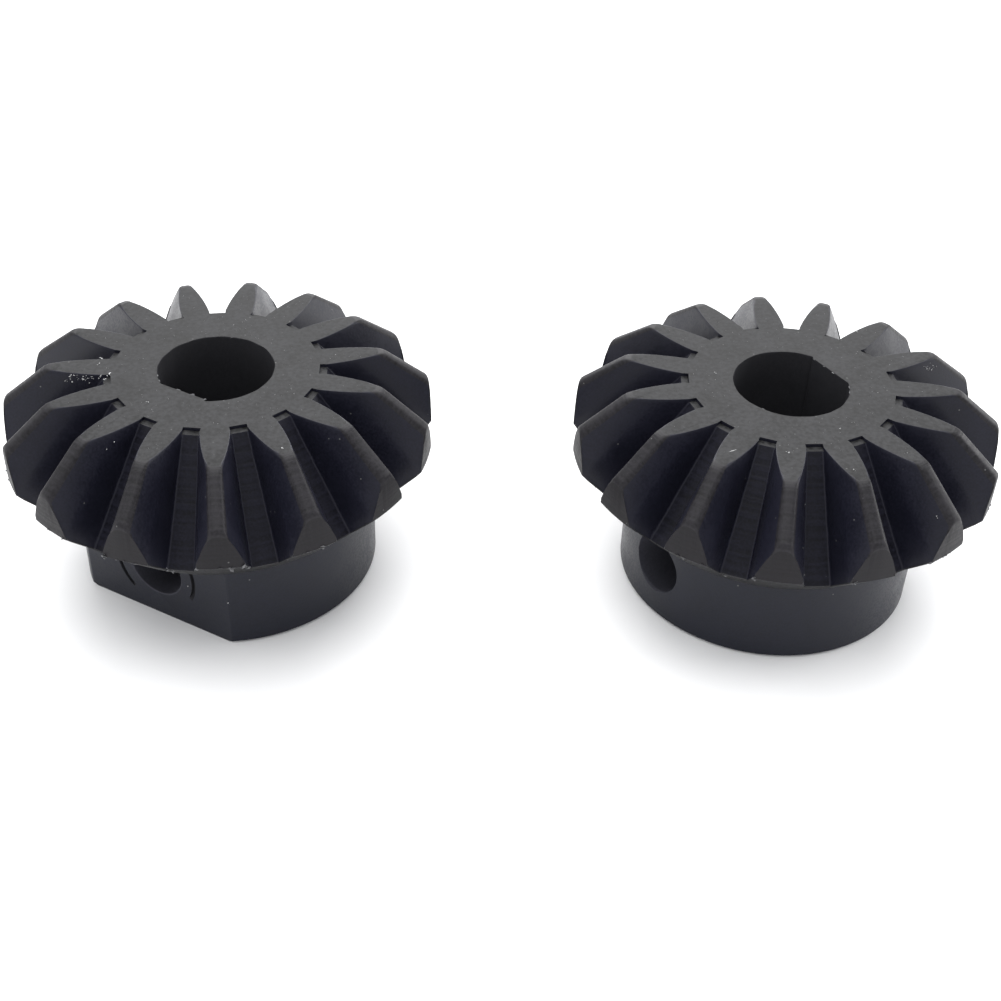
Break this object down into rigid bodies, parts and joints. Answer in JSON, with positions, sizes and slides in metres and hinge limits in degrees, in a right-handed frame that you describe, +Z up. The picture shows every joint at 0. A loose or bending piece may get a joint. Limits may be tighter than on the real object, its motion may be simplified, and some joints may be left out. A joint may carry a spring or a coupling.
{
  "type": "bevel gear pair",
  "caption": "Pair of identical straight bevel gears for a right-angle drive, with wide hubs, D-shaped bores, a flat on each hub and set screws; they stand side by side, out of mesh.",
  "frame": {"origin": "on the surface the gears stand on, midway between the two bore axes", "axes": "+X from the left gear's bore axis to the right gear's, +Z up both bore axes, from the hub to the small end of the teeth"},
  "size_m": [0.0872, 0.0374, 0.0202],
  "materials": {
    "gear_plastic": "black acetal, machined: matte faces, faint tool marks on the tooth tips, slightly glossier hub",
    "screw_steel": "black oxide, hex socket"
  },
  "bodies": {
    "left_gear": {"left_gear": "gear_plastic"},
    "left_set_screw": {"left_set_screw": "screw_steel"},
    "right_gear": {"right_gear": "gear_plastic"},
    "right_set_screw": {"right_set_screw": "screw_steel"}
  },
  "joints": [
    {"name": "right_gear_spin", "type": "hinge", "parent": "left_gear", "child": "right_gear", "pos_m": [0.0249, 0, 0], "axis": [0, 0, 1], "continuous": true},
    {"name": "left_set_screw_travel", "type": "slide", "parent": "left_gear", "child": "left_set_screw", "axis": [-0.4726, -0.8813, 0], "range_m": [0, 0.0055]},
    {"name": "right_set_screw_travel", "type": "slide", "parent": "right_gear", "child": "right_set_screw", "axis": [0.832, 0.5548, 0], "range_m": [0, 0.0055]}
  ]
}
